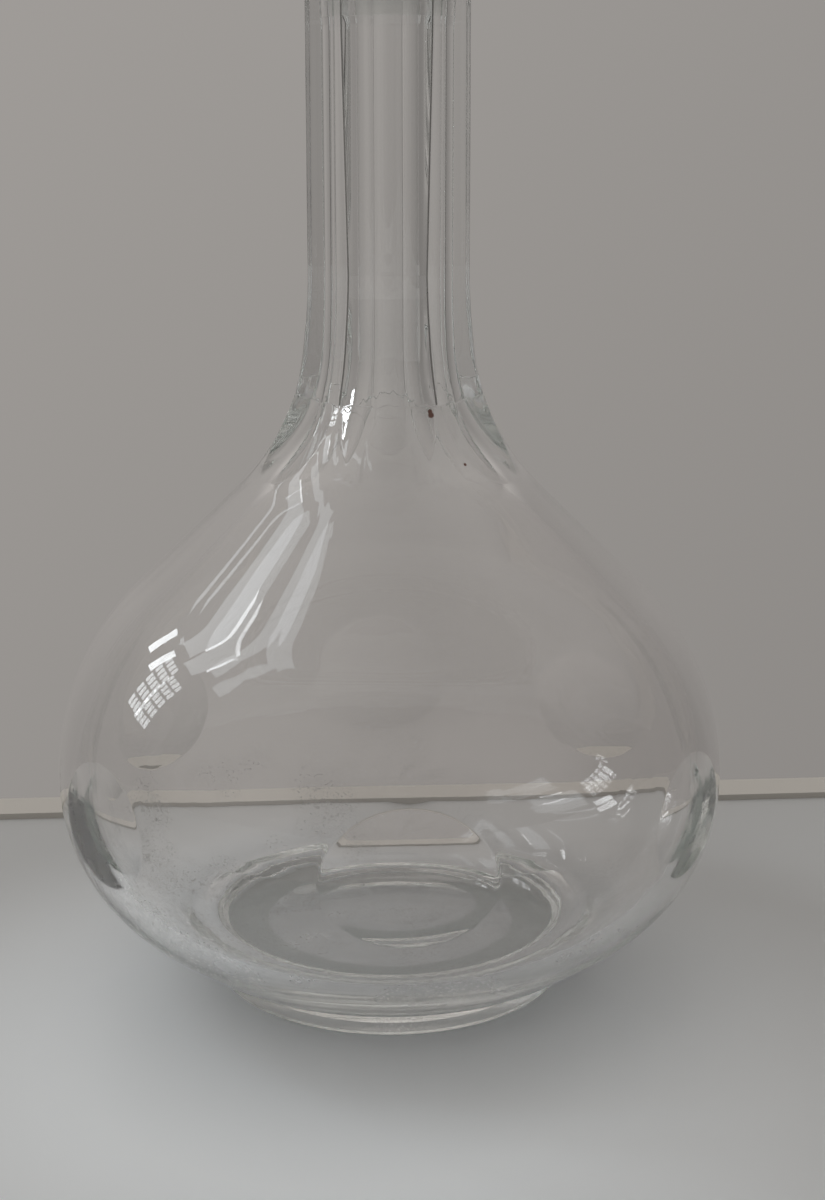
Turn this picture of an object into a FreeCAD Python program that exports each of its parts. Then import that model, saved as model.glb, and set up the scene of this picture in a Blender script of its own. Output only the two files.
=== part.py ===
import FreeCAD, Part
import math
import os

import Sketcher

# A stoppered flask of cut glass: a squat bulb on a short foot, a long six-sided neck,
# six oval cuts round the belt, and a ground glass stopper that lifts out.
# Millimetres and degrees. The origin is the middle of the foot's underside, +Z runs up
# the neck, and one flat of the neck faces -Y.

NECK_SIDES = 6
OVAL_CUTS = 6

# name, value, what it measures
SIZES = [
    ("belt_radius", 70.5, "bulb at its widest"),
    ("belt_height", 45.5, "height of the widest place"),
    ("bowl_arc", 38.0, "outer arc below the belt"),
    ("bowl_slope", 36.0, "slope of the cone below that arc, above level"),
    ("heel_arc", 5.0, "round edge where the bowl turns under"),
    ("heel_height", 7.4, "height of the bowl's underside above the table"),
    ("foot_radius", 38.2, "outer radius of the foot"),
    ("foot_cove", 1.8, "hollow round between foot and bowl"),
    ("foot_edge", 1.3, "round on the foot's lower edge"),
    ("rest_inner", 28.0, "inner radius of the flat ring that the flask rests on"),
    ("dish_depth", 0.9, "depth of the polished dish under the foot"),
    ("shoulder_arc", 55.0, "outer arc above the belt"),
    ("shoulder_slope", 44.0, "slope of the shoulder's cone, above level"),
    ("throat_arc", 46.0, "hollow arc from shoulder to neck"),
    ("blank_radius", 17.3, "neck before its panels are cut"),
    ("lip_start", 217.0, "height where the neck flares into the lip"),
    ("lip_flare", 9.0, "hollow arc under the lip"),
    ("lip_radius", 19.0, "outer radius of the lip"),
    ("lip_edge", 1.5, "round on the lip's upper edge"),
    ("rim_height", 228.0, "height of the mouth's rim"),
    ("mouth_chamfer", 0.6, "chamfer inside the mouth"),
    ("wall", 4.5, "wall of the bulb at the belt"),
    ("floor_height", 11.0, "inner floor at the axis"),
    ("inner_bowl_arc", 33.0, "inner arc below the belt"),
    ("inner_shoulder_arc", 48.0, "inner arc above the belt"),
    ("inner_throat_arc", 36.0, "inner hollow arc from shoulder to neck"),
    ("bore_radius", 9.3, "bore of the neck"),
    ("socket_height", 200.0, "height where the ground socket starts"),
    ("socket_radius", 9.6, "ground socket at its small end"),
    ("taper", 0.05, "growth of the ground radius for each millimetre of height"),
    ("panel_apothem", 14.3, "axis to a flat of the neck"),
    ("panel_top", 216.0, "height where the panels run out under the lip"),
    ("panel_top_arc", 16.0, "wheel's arc at the top of a panel"),
    ("waist_height", 151.0, "height below which the panels spread"),
    ("spread_arc", 125.0, "arc of a panel's lower part"),
    ("ledge_height", 125.6, "height of the small ledge at the neck's base"),
    ("ledge_width", 0.5, "how far the ledge stands out"),
    ("flute_arc", 32.0, "wheel's arc along a flute, from the ledge to its lower end"),
    ("flute_end_height", 109.3, "height where the flutes run out on the shoulder"),
    ("flute_end_radius", 29.0, "radius where the flutes run out on the shoulder"),
    ("cut_reach", 45.0, "how far out the panel cutter reaches"),
    ("oval_depth", 2.0, "depth of an oval cut, which is flat"),
    ("oval_cutter", 20.0, "how far the ovals' cutter reaches out, up and down"),
    ("oval_turn", 3.0, "turn of the ovals from the neck's flats"),
    ("cut_width", 60.0, "width of every cutter, past the part on both sides"),
    ("fit_gap", 0.05, "clearance all round the ground plug"),
    ("plug_height", 203.0, "plug's lower end when it is seated"),
    ("plug_chamfer", 0.8, "chamfer on the plug's lower edge"),
    ("plug_top", 231.0, "height where the plug's taper ends"),
    ("collar_radius", 7.6, "narrowest place of the stopper, under its head"),
    ("collar_height", 236.0, "height of that narrowest place"),
    ("collar_arc", 8.0, "hollow arc from plug to collar"),
    ("head_radius", 18.5, "stopper's head before its flats are cut"),
    ("head_height", 248.0, "height where the head is widest"),
    ("head_under_arc", 18.0, "arc under the head"),
    ("head_over_arc", 34.0, "arc over the head"),
    ("crown_radius", 10.5, "flat table on top of the head"),
    ("crown_height", 272.0, "height of that flat table"),
    ("head_apothem", 14.8, "axis to the head's flats at their widest"),
    ("head_over_lean", 12.0, "lean of the upper flats towards the axis"),
    ("head_under_lean", 30.0, "lean of the lower flats towards the axis"),
]

doc = FreeCAD.newDocument("glass_flask")
sheet = doc.addObject("Spreadsheet::Sheet", "Sizes")
for row, (alias, value, meaning) in enumerate(SIZES, start=1):
    sheet.set(f"A{row}", alias)
    sheet.set(f"B{row}", str(value))
    sheet.set(f"C{row}", meaning)
    sheet.setAlias(f"B{row}", alias)
doc.recompute()
size = {alias: value for alias, value, _ in SIZES}


def origin_feature(body, role):
    """The body's own origin plane or axis with this role."""
    return next(f for f in body.Origin.OriginFeatures if f.Role == role)


class Outline:
    """A closed sketch, drawn anticlockwise end to end, whose sizes are bound to the sheet.

    Each edge is drawn at its true place first, so that the solver only has to confirm it.
    """

    FIRST, SECOND, CENTRE = 1, 2, 3
    TABLE_LINE, AXIS_LINE = -1, -2

    def __init__(self, body, name, plane, start, turn=None):
        self.sketch = body.newObject("Sketcher::SketchObject", name)
        self.sketch.AttachmentSupport = [(origin_feature(body, plane), "")]
        self.sketch.MapMode = "FlatFace"
        if turn:
            upright = FreeCAD.Vector(0, 1, 0)
            turned = FreeCAD.Rotation(upright, size[turn])
            self.sketch.AttachmentOffset = FreeCAD.Placement(FreeCAD.Vector(), turned)
            self.sketch.setExpression("AttachmentOffset.Rotation.Angle", f"Sizes.{turn}")
        self.ends = []  # edge number with its start and its end, in the order drawn
        self.here = self.origin = start

    def _add(self, shape, start, end, smooth):
        number = self.sketch.addGeometry(shape)
        if self.ends:
            before, _, before_end = self.ends[-1]
            kind = "Tangent" if smooth else "Coincident"
            self.sketch.addConstraint(
                Sketcher.Constraint(kind, before, before_end, number, start)
            )
        self.ends.append((number, start, end))
        return number

    def line(self, x, y, smooth=False):
        a = FreeCAD.Vector(*self.here, 0)
        b = FreeCAD.Vector(x, y, 0)
        self.here = (x, y)
        return self._add(Part.LineSegment(a, b), self.FIRST, self.SECOND, smooth)

    def arc(self, x, y, radius, left=True, smooth=False):
        """An arc to x, y that turns left, or right where left is False."""
        from_x, from_y = self.here
        half = math.hypot(x - from_x, y - from_y) / 2
        rise = math.sqrt(max(radius**2 - half**2, 0)) * (1 if left else -1)
        centre_x = (from_x + x) / 2 - (y - from_y) / (2 * half) * rise
        centre_y = (from_y + y) / 2 + (x - from_x) / (2 * half) * rise
        upwards = FreeCAD.Vector(0, 0, 1)
        circle = Part.Circle(FreeCAD.Vector(centre_x, centre_y, 0), upwards, radius)
        begin = math.atan2(from_y - centre_y, from_x - centre_x)
        finish = math.atan2(y - centre_y, x - centre_x)
        self.here = (x, y)
        if left:
            shape = Part.ArcOfCircle(circle, begin, finish)
            return self._add(shape, self.FIRST, self.SECOND, smooth)
        shape = Part.ArcOfCircle(circle, finish, begin)
        return self._add(shape, self.SECOND, self.FIRST, smooth)

    def close(self):
        """A straight line back to where the outline began."""
        number = self.line(*self.origin)
        first, first_start, _ = self.ends[0]
        self.sketch.addConstraint(
            Sketcher.Constraint("Coincident", number, self.SECOND, first, first_start)
        )
        return number

    def bind(self, name, formula, constraint):
        index = self.sketch.addConstraint(constraint)
        self.sketch.renameConstraint(index, name)
        self.sketch.setExpression(f"Constraints.{name}", formula)

    def end_at(self, number, name, across=None, above=None):
        """Binds the end of an edge: its distance from the axis, its height, or both."""
        _, _, end = next(e for e in self.ends if e[0] == number)
        place = self.sketch.getPoint(number, end)
        if across:
            rule = Sketcher.Constraint("DistanceX", -1, 1, number, end, place.x)
            self.bind(f"{name}_across", across, rule)
        if above:
            rule = Sketcher.Constraint("DistanceY", -1, 1, number, end, place.y)
            self.bind(f"{name}_above", above, rule)

    def centre_at(self, number, name, above):
        height = self.sketch.getPoint(number, self.CENTRE).y
        rule = Sketcher.Constraint("DistanceY", -1, 1, number, self.CENTRE, height)
        self.bind(f"{name}_centre", above, rule)

    def radius(self, number, alias):
        self.bind(alias, f"Sizes.{alias}", Sketcher.Constraint("Radius", number, size[alias]))

    def slope(self, number, name, formula, degrees):
        rule = Sketcher.Constraint("Angle", number, math.radians(degrees))
        self.bind(name, formula, rule)

    def level(self, *numbers):
        for number in numbers:
            self.sketch.addConstraint(Sketcher.Constraint("Horizontal", number))

    def upright(self, *numbers):
        for number in numbers:
            self.sketch.addConstraint(Sketcher.Constraint("Vertical", number))

    def centre_on_axis(self, number):
        rule = Sketcher.Constraint("PointOnObject", number, self.CENTRE, self.AXIS_LINE)
        self.sketch.addConstraint(rule)

    def end_on_table(self, number):
        _, _, end = next(e for e in self.ends if e[0] == number)
        rule = Sketcher.Constraint("PointOnObject", number, end, self.TABLE_LINE)
        self.sketch.addConstraint(rule)

    def lie_on_axis(self, number):
        """The closing edge lies along the axis."""
        for end in (self.FIRST, self.SECOND):
            rule = Sketcher.Constraint("PointOnObject", number, end, self.AXIS_LINE)
            self.sketch.addConstraint(rule)


def spun(body, kind, name, outline):
    """A Revolution or Groove of the outline, once round the axis."""
    feature = body.newObject(f"PartDesign::{kind}", name)
    feature.Profile = outline.sketch
    feature.ReferenceAxis = (outline.sketch, ["V_Axis"])
    feature.Angle = 360
    return feature


def cut_round(body, name, outline, count):
    """A cutter as wide as cut_width, used count times round the axis."""
    cut = body.newObject("PartDesign::Pocket", name)
    cut.Profile = outline.sketch
    cut.Midplane = True
    cut.Length = size["cut_width"]
    cut.setExpression("Length", "Sizes.cut_width")
    doc.recompute()
    ring = body.newObject("PartDesign::PolarPattern", f"{name}_ring")
    ring.Originals = [cut]
    ring.Axis = (origin_feature(body, "Z_Axis"), [""])
    ring.Angle = 360
    ring.Occurrences = count
    body.Tip = ring
    doc.recompute()
    return ring


def shoulder_end(arc, belt):
    """Where an arc above the belt meets the shoulder's cone."""
    lean = math.radians(90 - size["shoulder_slope"])
    across = belt - arc * (1 - math.cos(lean))
    return across, size["belt_height"] + arc * math.sin(lean)


def throat_ends(arc, belt, throat, neck):
    """Both ends of the hollow throat arc, tangent to the shoulder's cone and to the neck."""
    lean = math.radians(90 - size["shoulder_slope"])
    across, above = shoulder_end(arc, belt)
    low_across = neck + throat * (1 - math.cos(lean))
    low_above = above + (across - low_across) / math.tan(lean)
    return (low_across, low_above), (neck, low_above + throat * math.sin(lean))


def blank_outline(body):
    """The flask as it is blown, with its foot and lip, before anything is cut."""
    belt, arc, slope = size["belt_radius"], size["bowl_arc"], math.radians(size["bowl_slope"])
    heel, heel_height = size["heel_arc"], size["heel_height"]
    foot, cove, edge = size["foot_radius"], size["foot_cove"], size["foot_edge"]
    dish, rest = size["dish_depth"], size["rest_inner"]
    rim, lip, lip_edge = size["rim_height"], size["lip_radius"], size["lip_edge"]
    cone_top = (
        belt - arc * (1 - math.sin(slope)),
        size["belt_height"] - arc * math.cos(slope),
    )
    heel_end_above = heel_height + heel * (1 - math.cos(slope))
    heel_end = (
        cone_top[0] - (cone_top[1] - heel_end_above) / math.tan(slope),
        heel_end_above,
    )
    shoulder = shoulder_end(size["shoulder_arc"], belt)
    throat = size["throat_arc"]
    throat_low, throat_high = throat_ends(
        size["shoulder_arc"], belt, throat, size["blank_radius"]
    )
    flare = size["lip_flare"]
    flare_rise = math.sqrt(flare**2 - (flare - lip + size["blank_radius"]) ** 2)

    draw = Outline(body, "blank_outline", "XZ_Plane", (0, dish))
    under = draw.arc(rest, 0, (rest**2 + dish**2) / (2 * dish), left=False)
    rest_ring = draw.line(foot - edge, 0)
    foot_round = draw.arc(foot, edge, edge, smooth=True)
    foot_side = draw.line(foot, heel_height - cove, smooth=True)
    foot_hollow = draw.arc(foot + cove, heel_height, cove, left=False, smooth=True)
    underside = draw.line(heel_end[0] - heel * math.sin(slope), heel_height, smooth=True)
    heel_round = draw.arc(*heel_end, heel, smooth=True)
    cone = draw.line(*cone_top, smooth=True)
    bowl = draw.arc(belt, size["belt_height"], arc, smooth=True)
    crown = draw.arc(*shoulder, size["shoulder_arc"], smooth=True)
    shoulder_cone = draw.line(*throat_low, smooth=True)
    hollow = draw.arc(*throat_high, throat, left=False, smooth=True)
    neck = draw.line(size["blank_radius"], size["lip_start"], smooth=True)
    lip_hollow = draw.arc(lip, size["lip_start"] + flare_rise, flare, left=False, smooth=True)
    lip_side = draw.line(lip, rim - lip_edge)
    lip_round = draw.arc(lip - lip_edge, rim, lip_edge, smooth=True)
    top = draw.line(0, rim, smooth=True)
    axis = draw.close()

    draw.centre_on_axis(under)
    draw.lie_on_axis(axis)
    draw.end_at(under, "rest_inner", across="Sizes.rest_inner")
    draw.end_on_table(under)
    draw.end_at(axis, "dish", above="Sizes.dish_depth")
    draw.level(rest_ring, underside, top)
    draw.upright(foot_side, neck, lip_side)
    draw.end_at(foot_side, "foot", across="Sizes.foot_radius")
    draw.end_at(underside, "heel", above="Sizes.heel_height")
    draw.end_at(bowl, "belt", across="Sizes.belt_radius", above="Sizes.belt_height")
    draw.centre_at(bowl, "bowl", "Sizes.belt_height")
    draw.slope(cone, "bowl_slope", "Sizes.bowl_slope", size["bowl_slope"])
    draw.slope(
        shoulder_cone,
        "shoulder_slope",
        "180 - Sizes.shoulder_slope",
        180 - size["shoulder_slope"],
    )
    draw.end_at(neck, "neck", across="Sizes.blank_radius", above="Sizes.lip_start")
    draw.end_at(lip_side, "lip", across="Sizes.lip_radius")
    draw.end_at(lip_round, "rim", above="Sizes.rim_height")
    draw.radius(foot_round, "foot_edge")
    draw.radius(foot_hollow, "foot_cove")
    draw.radius(heel_round, "heel_arc")
    draw.radius(bowl, "bowl_arc")
    draw.radius(crown, "shoulder_arc")
    draw.radius(hollow, "throat_arc")
    draw.radius(lip_hollow, "lip_flare")
    draw.radius(lip_round, "lip_edge")
    return draw


def cavity_outline(body):
    """The hollow: a nearly flat floor, the bulb, the bore and the tapered ground socket."""
    belt = size["belt_radius"] - size["wall"]
    belt_height, floor = size["belt_height"], size["floor_height"]
    arc, neck_arc, bore = size["inner_bowl_arc"], size["inner_throat_arc"], size["bore_radius"]
    socket, socket_height = size["socket_radius"], size["socket_height"]
    rim, chamfer = size["rim_height"], size["mouth_chamfer"]
    mouth = socket + (rim - chamfer - socket_height) * size["taper"]
    # The floor's arc has its centre on the axis and is tangent to the bowl's arc.
    arc_across = belt - arc
    arc_above = belt_height - floor
    floor_arc = (arc_across**2 + arc_above**2 - arc**2) / (2 * (arc_above - arc))
    along = floor_arc / (floor_arc - arc)
    floor_end = (arc_across * along, floor + floor_arc + (arc_above - floor_arc) * along)
    shoulder = shoulder_end(size["inner_shoulder_arc"], belt)
    throat_low, throat_high = throat_ends(size["inner_shoulder_arc"], belt, neck_arc, bore)

    draw = Outline(body, "cavity_outline", "XZ_Plane", (0, floor))
    bottom = draw.arc(*floor_end, floor_arc)
    bowl = draw.arc(belt, belt_height, arc, smooth=True)
    crown = draw.arc(*shoulder, size["inner_shoulder_arc"], smooth=True)
    cone = draw.line(*throat_low, smooth=True)
    hollow = draw.arc(*throat_high, neck_arc, left=False, smooth=True)
    neck = draw.line(bore, socket_height, smooth=True)
    step = draw.line(socket, socket_height)
    ground = draw.line(mouth, rim - chamfer)
    bevel = draw.line(mouth + chamfer, rim)
    top = draw.line(0, rim)
    axis = draw.close()

    draw.centre_on_axis(bottom)
    draw.lie_on_axis(axis)
    draw.end_at(axis, "floor", above="Sizes.floor_height")
    draw.end_at(
        bowl, "belt", across="Sizes.belt_radius - Sizes.wall", above="Sizes.belt_height"
    )
    draw.centre_at(bowl, "bowl", "Sizes.belt_height")
    draw.radius(bowl, "inner_bowl_arc")
    draw.radius(crown, "inner_shoulder_arc")
    draw.radius(hollow, "inner_throat_arc")
    draw.slope(
        cone, "inner_slope", "180 - Sizes.shoulder_slope", 180 - size["shoulder_slope"]
    )
    draw.upright(neck)
    draw.level(step, top)
    draw.end_at(neck, "bore", across="Sizes.bore_radius", above="Sizes.socket_height")
    draw.end_at(step, "socket", across="Sizes.socket_radius")
    socket_rise = "(Sizes.rim_height - Sizes.mouth_chamfer - Sizes.socket_height)"
    draw.end_at(
        ground,
        "mouth",
        across=f"Sizes.socket_radius + {socket_rise} * Sizes.taper",
        above="Sizes.rim_height - Sizes.mouth_chamfer",
    )
    draw.end_at(
        bevel,
        "rim",
        across=f"Sizes.socket_radius + {socket_rise} * Sizes.taper + Sizes.mouth_chamfer",
        above="Sizes.rim_height",
    )
    return draw


def panel_outline(body):
    """The side of one neck panel: run-out under the lip, flat, spread, ledge and flute."""
    flat, top, top_arc = size["panel_apothem"], size["panel_top"], size["panel_top_arc"]
    lip, reach = size["lip_radius"], size["cut_reach"]
    waist, spread, ledge = size["waist_height"], size["spread_arc"], size["ledge_height"]
    end_across, end_above = size["flute_end_radius"], size["flute_end_height"]
    top_drop = math.sqrt(top_arc**2 - (flat + top_arc - lip) ** 2)
    spread_end = flat + spread - math.sqrt(spread**2 - (waist - ledge) ** 2)

    draw = Outline(body, "panel_outline", "YZ_Plane", (lip, top))
    run_out = draw.arc(flat, top - top_drop, top_arc)
    straight = draw.line(flat, waist, smooth=True)
    lower = draw.arc(spread_end, ledge, spread, smooth=True)
    step = draw.line(spread_end + size["ledge_width"], ledge)
    flute = draw.arc(end_across, end_above, size["flute_arc"])
    under = draw.line(reach, end_above)
    outer = draw.line(reach, top)
    over = draw.close()

    draw.level(step, under, over)
    draw.upright(straight, outer)
    draw.end_at(over, "lip", across="Sizes.lip_radius", above="Sizes.panel_top")
    draw.end_at(straight, "flat", across="Sizes.panel_apothem", above="Sizes.waist_height")
    draw.end_at(lower, "ledge", above="Sizes.ledge_height")
    width = Sketcher.Constraint("DistanceX", step, 1, step, 2, size["ledge_width"])
    draw.bind("ledge_width", "Sizes.ledge_width", width)
    draw.end_at(
        flute, "flute", across="Sizes.flute_end_radius", above="Sizes.flute_end_height"
    )
    draw.end_at(under, "reach", across="Sizes.cut_reach")
    draw.radius(run_out, "panel_top_arc")
    draw.radius(lower, "spread_arc")
    draw.radius(flute, "flute_arc")
    return draw


def oval_outline(body):
    """A flat cutter, seen from its side, sunk oval_depth into the belt.

    A flat takes an oval off the bulb, because the bulb falls away faster up and down
    than sideways.
    """
    flat, cutter = size["belt_radius"] - size["oval_depth"], size["oval_cutter"]
    low, high = size["belt_height"] - cutter, size["belt_height"] + cutter

    draw = Outline(body, "oval_outline", "YZ_Plane", (flat, high), "oval_turn")
    face = draw.line(flat, low)
    under = draw.line(flat + cutter, low)
    outer = draw.line(flat + cutter, high)
    over = draw.close()

    depth = "Sizes.belt_radius - Sizes.oval_depth"
    draw.level(under, over)
    draw.upright(face, outer)
    draw.end_at(over, "high", across=depth, above="Sizes.belt_height + Sizes.oval_cutter")
    draw.end_at(
        under,
        "low",
        across=f"{depth} + Sizes.oval_cutter",
        above="Sizes.belt_height - Sizes.oval_cutter",
    )
    return draw


def stopper_outline(body):
    """The stopper before its flats: ground plug, hollow collar, round head, flat table."""
    small = size["socket_radius"] - size["fit_gap"]
    chamfer, low, high = size["plug_chamfer"], size["plug_height"], size["plug_top"]
    low_rise = low + chamfer - size["socket_height"]
    high_rise = high - size["socket_height"]
    crown = size["crown_height"]

    draw = Outline(body, "stopper_outline", "XZ_Plane", (0, low))
    end = draw.line(small + low_rise * size["taper"] - chamfer, low)
    bevel = draw.line(small + low_rise * size["taper"], low + chamfer)
    ground = draw.line(small + high_rise * size["taper"], high)
    hollow = draw.arc(
        size["collar_radius"], size["collar_height"], size["collar_arc"], left=False
    )
    under = draw.arc(size["head_radius"], size["head_height"], size["head_under_arc"])
    over = draw.arc(size["crown_radius"], crown, size["head_over_arc"])
    table = draw.line(0, crown)
    axis = draw.close()

    draw.lie_on_axis(axis)
    draw.level(end, table)
    plug = "Sizes.socket_radius - Sizes.fit_gap"
    low_end = f"{plug} + (Sizes.plug_height + Sizes.plug_chamfer - Sizes.socket_height)"
    high_end = f"{plug} + (Sizes.plug_top - Sizes.socket_height) * Sizes.taper"
    draw.end_at(
        end,
        "plug_end",
        across=f"{low_end} * Sizes.taper - Sizes.plug_chamfer",
        above="Sizes.plug_height",
    )
    draw.end_at(
        bevel,
        "plug_edge",
        across=f"{low_end} * Sizes.taper",
        above="Sizes.plug_height + Sizes.plug_chamfer",
    )
    draw.end_at(ground, "plug_top", across=high_end, above="Sizes.plug_top")
    draw.end_at(hollow, "collar", across="Sizes.collar_radius", above="Sizes.collar_height")
    draw.end_at(under, "head", across="Sizes.head_radius", above="Sizes.head_height")
    draw.end_at(over, "crown", across="Sizes.crown_radius", above="Sizes.crown_height")
    draw.radius(hollow, "collar_arc")
    draw.radius(under, "head_under_arc")
    draw.radius(over, "head_over_arc")
    return draw


def head_flat_outline(body):
    """Two flats of the head from the side: one leans in above its widest place, one below."""
    flat, mid = size["head_apothem"], size["head_height"]
    low, high, reach = size["collar_height"], size["crown_height"], size["cut_reach"]
    high_across = flat - (high - mid) * math.tan(math.radians(size["head_over_lean"]))
    low_across = flat - (mid - low) * math.tan(math.radians(size["head_under_lean"]))

    draw = Outline(body, "head_flat_outline", "YZ_Plane", (high_across, high))
    upper = draw.line(flat, mid)
    lower = draw.line(low_across, low)
    under = draw.line(reach, low)
    outer = draw.line(reach, high)
    over = draw.close()

    draw.level(under, over)
    draw.upright(outer)
    draw.end_at(upper, "widest", across="Sizes.head_apothem", above="Sizes.head_height")
    draw.end_at(
        over,
        "over",
        across="Sizes.head_apothem - (Sizes.crown_height - Sizes.head_height)"
        " * tan(Sizes.head_over_lean)",
        above="Sizes.crown_height",
    )
    draw.end_at(
        lower,
        "under",
        across="Sizes.head_apothem - (Sizes.head_height - Sizes.collar_height)"
        " * tan(Sizes.head_under_lean)",
        above="Sizes.collar_height",
    )
    draw.end_at(outer, "reach", across="Sizes.cut_reach")
    return draw


def make_flask():
    body = doc.addObject("PartDesign::Body", "flask_body")
    body.Label = "flask_body"
    spun(body, "Revolution", "blank", blank_outline(body))
    doc.recompute()
    spun(body, "Groove", "cavity", cavity_outline(body))
    doc.recompute()
    cut_round(body, "neck_panels", panel_outline(body), NECK_SIDES)
    cut_round(body, "belt_ovals", oval_outline(body), OVAL_CUTS)
    return body


def make_stopper():
    body = doc.addObject("PartDesign::Body", "stopper")
    body.Label = "stopper"
    spun(body, "Revolution", "stopper_blank", stopper_outline(body))
    doc.recompute()
    cut_round(body, "head_flats", head_flat_outline(body), NECK_SIDES)
    return body


parts = [make_flask(), make_stopper()]
doc.recompute()

for thing in doc.Objects:
    if "Invalid" in thing.State or "Error" in thing.State:
        raise RuntimeError(f"{thing.Name} failed: {thing.State}")
for piece in parts:
    shape = piece.Shape
    if shape.isNull() or not shape.isValid() or len(shape.Solids) != 1:
        raise RuntimeError(f"{piece.Label} is not one valid solid")

os.makedirs("parts", exist_ok=True)
for piece in parts:
    piece.Shape.exportStep(f"parts/{piece.Label}.step")
    box = piece.Shape.BoundBox
    print(
        f"{piece.Label}: {piece.Shape.Volume / 1000:.1f} cm3,"
        f" x {box.XMin:.2f} to {box.XMax:.2f}, z {box.ZMin:.2f} to {box.ZMax:.2f}"
    )
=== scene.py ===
import math

import bpy
import numpy as np
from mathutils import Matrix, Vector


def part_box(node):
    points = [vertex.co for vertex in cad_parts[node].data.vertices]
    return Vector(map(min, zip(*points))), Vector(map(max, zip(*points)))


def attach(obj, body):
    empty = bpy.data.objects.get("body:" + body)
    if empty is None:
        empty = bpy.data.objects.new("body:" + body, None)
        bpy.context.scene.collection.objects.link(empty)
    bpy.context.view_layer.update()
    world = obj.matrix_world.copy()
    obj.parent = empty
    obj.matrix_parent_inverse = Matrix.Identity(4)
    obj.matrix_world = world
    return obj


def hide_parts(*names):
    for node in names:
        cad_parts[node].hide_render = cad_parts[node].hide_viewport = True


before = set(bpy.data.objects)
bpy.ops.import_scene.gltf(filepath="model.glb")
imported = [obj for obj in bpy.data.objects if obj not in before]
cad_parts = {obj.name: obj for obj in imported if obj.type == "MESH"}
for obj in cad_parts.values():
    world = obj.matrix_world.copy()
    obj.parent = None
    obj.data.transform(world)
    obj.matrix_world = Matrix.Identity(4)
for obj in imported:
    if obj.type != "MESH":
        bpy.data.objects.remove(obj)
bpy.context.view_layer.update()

# The glass is made here again from the design's sizes, with softened edges and the small
# unevenness of hand cutting. Outlines are in millimetres; the meshes are in metres.
MM = 0.001

_, flask_high = (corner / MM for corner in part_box("flask_body"))
stopper_low, stopper_high = (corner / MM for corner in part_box("stopper"))

BELT_RADIUS = flask_high.x
BELT_HEIGHT = 45.5
BOWL_ARC = 38.0
BOWL_SLOPE = 36.0
HEEL_ARC = 5.0
HEEL_HEIGHT = 7.4
FOOT_RADIUS = 38.2
FOOT_COVE = 1.8
FOOT_EDGE = 1.3
REST_INNER = 28.0
DISH_DEPTH = 0.9
SHOULDER_ARC = 55.0
SHOULDER_SLOPE = 44.0
THROAT_ARC = 46.0
BLANK_RADIUS = 17.3
LIP_START = 217.0
LIP_FLARE = 9.0
LIP_RADIUS = 19.0
LIP_EDGE = 1.5
RIM_HEIGHT = flask_high.z
MOUTH_CHAMFER = 0.6

WALL = 4.5
FLOOR_HEIGHT = 11.0
INNER_BOWL_ARC = 33.0
INNER_SHOULDER_ARC = 48.0
INNER_THROAT_ARC = 36.0
BORE_RADIUS = 9.3
SOCKET_HEIGHT = 200.0
SOCKET_RADIUS = 9.6
SOCKET_STEP = 1.6
TAPER = 0.05

SIDES = 6
SECTOR = 360 / SIDES
PANEL_APOTHEM = 14.3
PANEL_TOP = 216.0
PANEL_TOP_ARC = 16.0
WAIST_HEIGHT = 151.0
SPREAD_ARC = 125.0
LEDGE_HEIGHT = 125.6
LEDGE_WIDTH = 0.5
LEDGE_ROUND = 0.06
LEDGE_WAVE = 0.22
FLUTE_ARC = 32.0
FLUTE_END = (29.0, 109.3)

# Hand cutting: how far each oval is turned from its panel's middle, in degrees, and how deep
# it is; and how far each panel stands from its true place at the waist and at the socket.
OVALS = [(3.5, 2.0), (0.0, 1.7), (13.5, 2.4), (3.0, 2.0), (-3.5, 2.4), (6.0, 1.7)]
PANEL_ERRORS = [(0.9, -1.0), (0.0, 0.0), (0.15, -0.1), (-0.1, 0.1), (0.1, -0.15), (0.0, 0.05)]

CUT_ROUND = 0.12
CORNER_ROUND = 0.55
# How far, in degrees, from a corner of the neck the painted dark line of shade reaches: in front,
# at the sides, at the back.
EDGE_SHADE_REACHES = (0.65, 1.05, 0.35)

# Numbers of a mesh's materials; the third paints a dark line of shade along the neck's edges.
CLEAR, GROUND, EDGE_SHADE, WORN = range(4)

PLUG_GAP = 0.05
PLUG_CHAMFER = 0.8
PLUG_TOP = 231.0
PLUG_FACE_ROWS = 5
COLLAR = (7.6, 236.0)
COLLAR_ARC = 8.0
HEAD = (18.5, 248.0)
HEAD_UNDER_ARC = 18.0
HEAD_OVER_ARC = 34.0
CROWN = (10.5, stopper_high.z)
HEAD_APOTHEM = 14.8
HEAD_OVER_LEAN = 12.0
HEAD_UNDER_LEAN = 30.0
CROWN_SHARES = (0.985, 0.9, 0.6, 0.3)

# Heights at which a cut wall is worked out before its rows are chosen.
WALL_SAMPLES = 2400
STOPPER_SAMPLES = 1600


# ---------------------------------------------------------------- outlines

def arc_centre(start, end, radius, left=True):
    """Centre of the arc from start to end that turns left, or right where left is False."""
    half = math.dist(start, end) / 2
    rise = math.sqrt(radius**2 - half**2) * (1 if left else -1)
    along = ((end[0] - start[0]) / (2 * half), (end[1] - start[1]) / (2 * half))
    return (
        (start[0] + end[0]) / 2 - along[1] * rise,
        (start[1] + end[1]) / 2 + along[0] * rise,
    )


def fractions(length, count, margin=0.15):
    """Steps along a stretch, with one close to each end so that an edge stays crisp."""
    near = min(margin / length, 0.25)
    return np.concatenate((np.linspace(near, 1 - near, count), [1.0]))


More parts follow.
